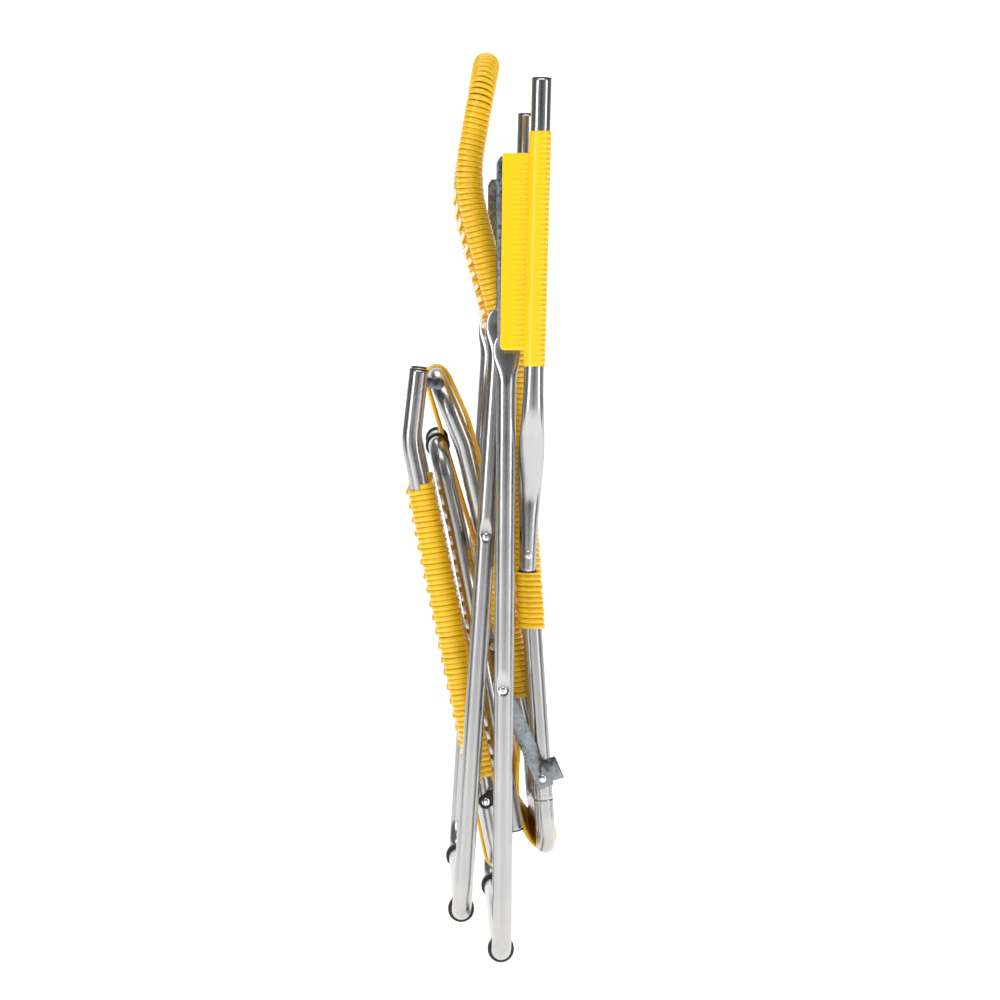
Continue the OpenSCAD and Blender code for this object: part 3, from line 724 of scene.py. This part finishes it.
LINK_PIVOT = (line_x(FOOTREST_KINK, FOOTREST_END, 208.7), 208.7)
FOOT_PIVOT, KNEE_PIVOT, BACK_PIVOT = (29.9, 225.9), (-83.0, 748.0), (56.5, 528.2)
LINK_OUT = BACK_Y + TUBE_R + 3.3
STRUT_IN_Y, CHANNEL_IN_Y, CHANNEL_OUT_Y = 268.5, 244.2, 297.9
for rivet_name, rivet_body, sets in (
        ("rear_leg_rivets", "rear_leg",
         [(STRUT_PIVOT, STRUT_IN_Y, REAR_Y + TUBE_R - DIMPLED, (True, True))]),
        ("front_leg_rivets", "front_leg",
         [(SEAT_PIVOT, SEAT_Y - TUBE_R - HEAD_GAP, FRONT_Y + TUBE_R - DIMPLED, (True, True))]),
        ("seat_hip_rivets", "seat", [(HIP, SEAT_Y - TUBE_R, BACK_Y + TUBE_R + 0.8, (True, False))]),
        ("knee_rivets", "seat", [(KNEE_PIVOT, SEAT_Y + TUBE_R + 0.2, BACK_Y - KNEE_DEPTH, (False, True))]),
        ("link_rivets", "footrest", [(LINK_PIVOT, BACK_Y - TUBE_R, LINK_OUT, (True, True)),
                                     (FOOT_PIVOT, SEAT_Y - TUBE_R - HEAD_GAP, LINK_OUT, (True, True))])):
    build(rivet_name + "_piece", rivet_body, [rivet_name], rivet_steel,
          [set_rivet(at, inner, outer, side, heads) for at, inner, outer, heads in sets for _, side in SIDES])
for side_name, side in SIDES:
    build(f"arm_rivets_{side_name}_piece", f"armrest_{side_name}", [f"arm_rivets_{side_name}"], rivet_steel,
          [set_rivet(REAR_TOP, REAR_Y - 5, CHANNEL_OUT_Y, side, (False, False)),
           set_rivet(FRONT_TOP, CHANNEL_IN_Y, FRONT_Y + 5, side, (False, False)),
           set_rivet(BACK_PIVOT, ARM_LOW_Y - 6, ARM_LOW_Y + TUBE_R - 0.2, side, (False, True))])
    build(f"strut_rivet_{side_name}_piece", f"strut_{side_name}", [f"strut_rivet_{side_name}"],
          rivet_steel, [set_rivet(HIP, BACK_Y + TUBE_R + 1.6, BACK_Y + TUBE_R + 3.6, side, (False, True))])


# ---------------------------------------------------------------- Zinc-plated strips and black links
# Struts, channels and knee brackets are punched from strip and zinc plated, which leaves a
# spangled blue-grey skin; the footrest's links are stamped and painted black.
zinc, zinc_wire, zinc_shader = finish("spangled_zinc", (0.42, 0.45, 0.5), 1.0, 0.35)
spangle = zinc_wire.node("ShaderNodeTexVoronoi", None, "Color", Scale=210.0,
                         Vector=zinc_wire.node("ShaderNodeTexCoord", None, "Object"))
spangle_value = zinc_wire.node("ShaderNodeSeparateColor", None, 0, Color=spangle)
zinc_cloud = noise(zinc_wire, 60.0, 4.0)
feed(zinc_wire, zinc_shader,
     Base_Color=blended(zinc_wire, spangle_value * 0.6 + zinc_cloud * 0.4,
                        (0.12, 0.14, 0.16, 1), (0.34, 0.37, 0.39, 1)),
     Roughness=0.22 + spangle_value * 0.2, Normal=bent(zinc_wire, zinc_cloud, 0.1, 0.0003))
link_paint, link, link_shader = finish("black_link", (0.015, 0.015, 0.016), roughness=0.55)
link_skin = noise(link, 350.0, 3.0)
feed(link, link_shader, Roughness=0.45 + link_skin * 0.2, Normal=bent(link, link_skin, 0.2, 0.0003))


def edged_copy(node, body, material, edge=0.0004):
    """A copy of a punched part's mesh, its points merged and flats joined, with softened edges."""
    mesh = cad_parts[node].data.copy()
    shell = bmesh.new()
    shell.from_mesh(mesh)
    bmesh.ops.remove_doubles(shell, verts=shell.verts, dist=0.00001)
    bmesh.ops.dissolve_limit(shell, angle_limit=0.02, verts=shell.verts, edges=shell.edges)
    bmesh.ops.recalc_face_normals(shell, faces=shell.faces)
    shell.to_mesh(mesh)
    shell.free()
    mesh.polygons.foreach_set("use_smooth", np.ones(len(mesh.polygons), bool))
    mesh.materials.clear()
    mesh.materials.append(material)
    piece = bpy.data.objects.new(node + "_piece", mesh)
    bpy.context.scene.collection.objects.link(piece)
    soften = piece.modifiers.new("soft_edges", "BEVEL")
    soften.width = edge
    soften.segments = 2
    soften.limit_method = "ANGLE"
    soften.angle_limit = math.radians(35)
    soften.harden_normals = True
    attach(piece, body)
    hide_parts(node)


for side_name, side in SIDES:
    edged_copy(f"strut_{side_name}", f"strut_{side_name}", zinc)
    edged_copy(f"arm_channel_{side_name}", f"armrest_{side_name}", zinc)
edged_copy("knee_brackets", "seat", zinc)
edged_copy("footrest_links", "footrest", link_paint)
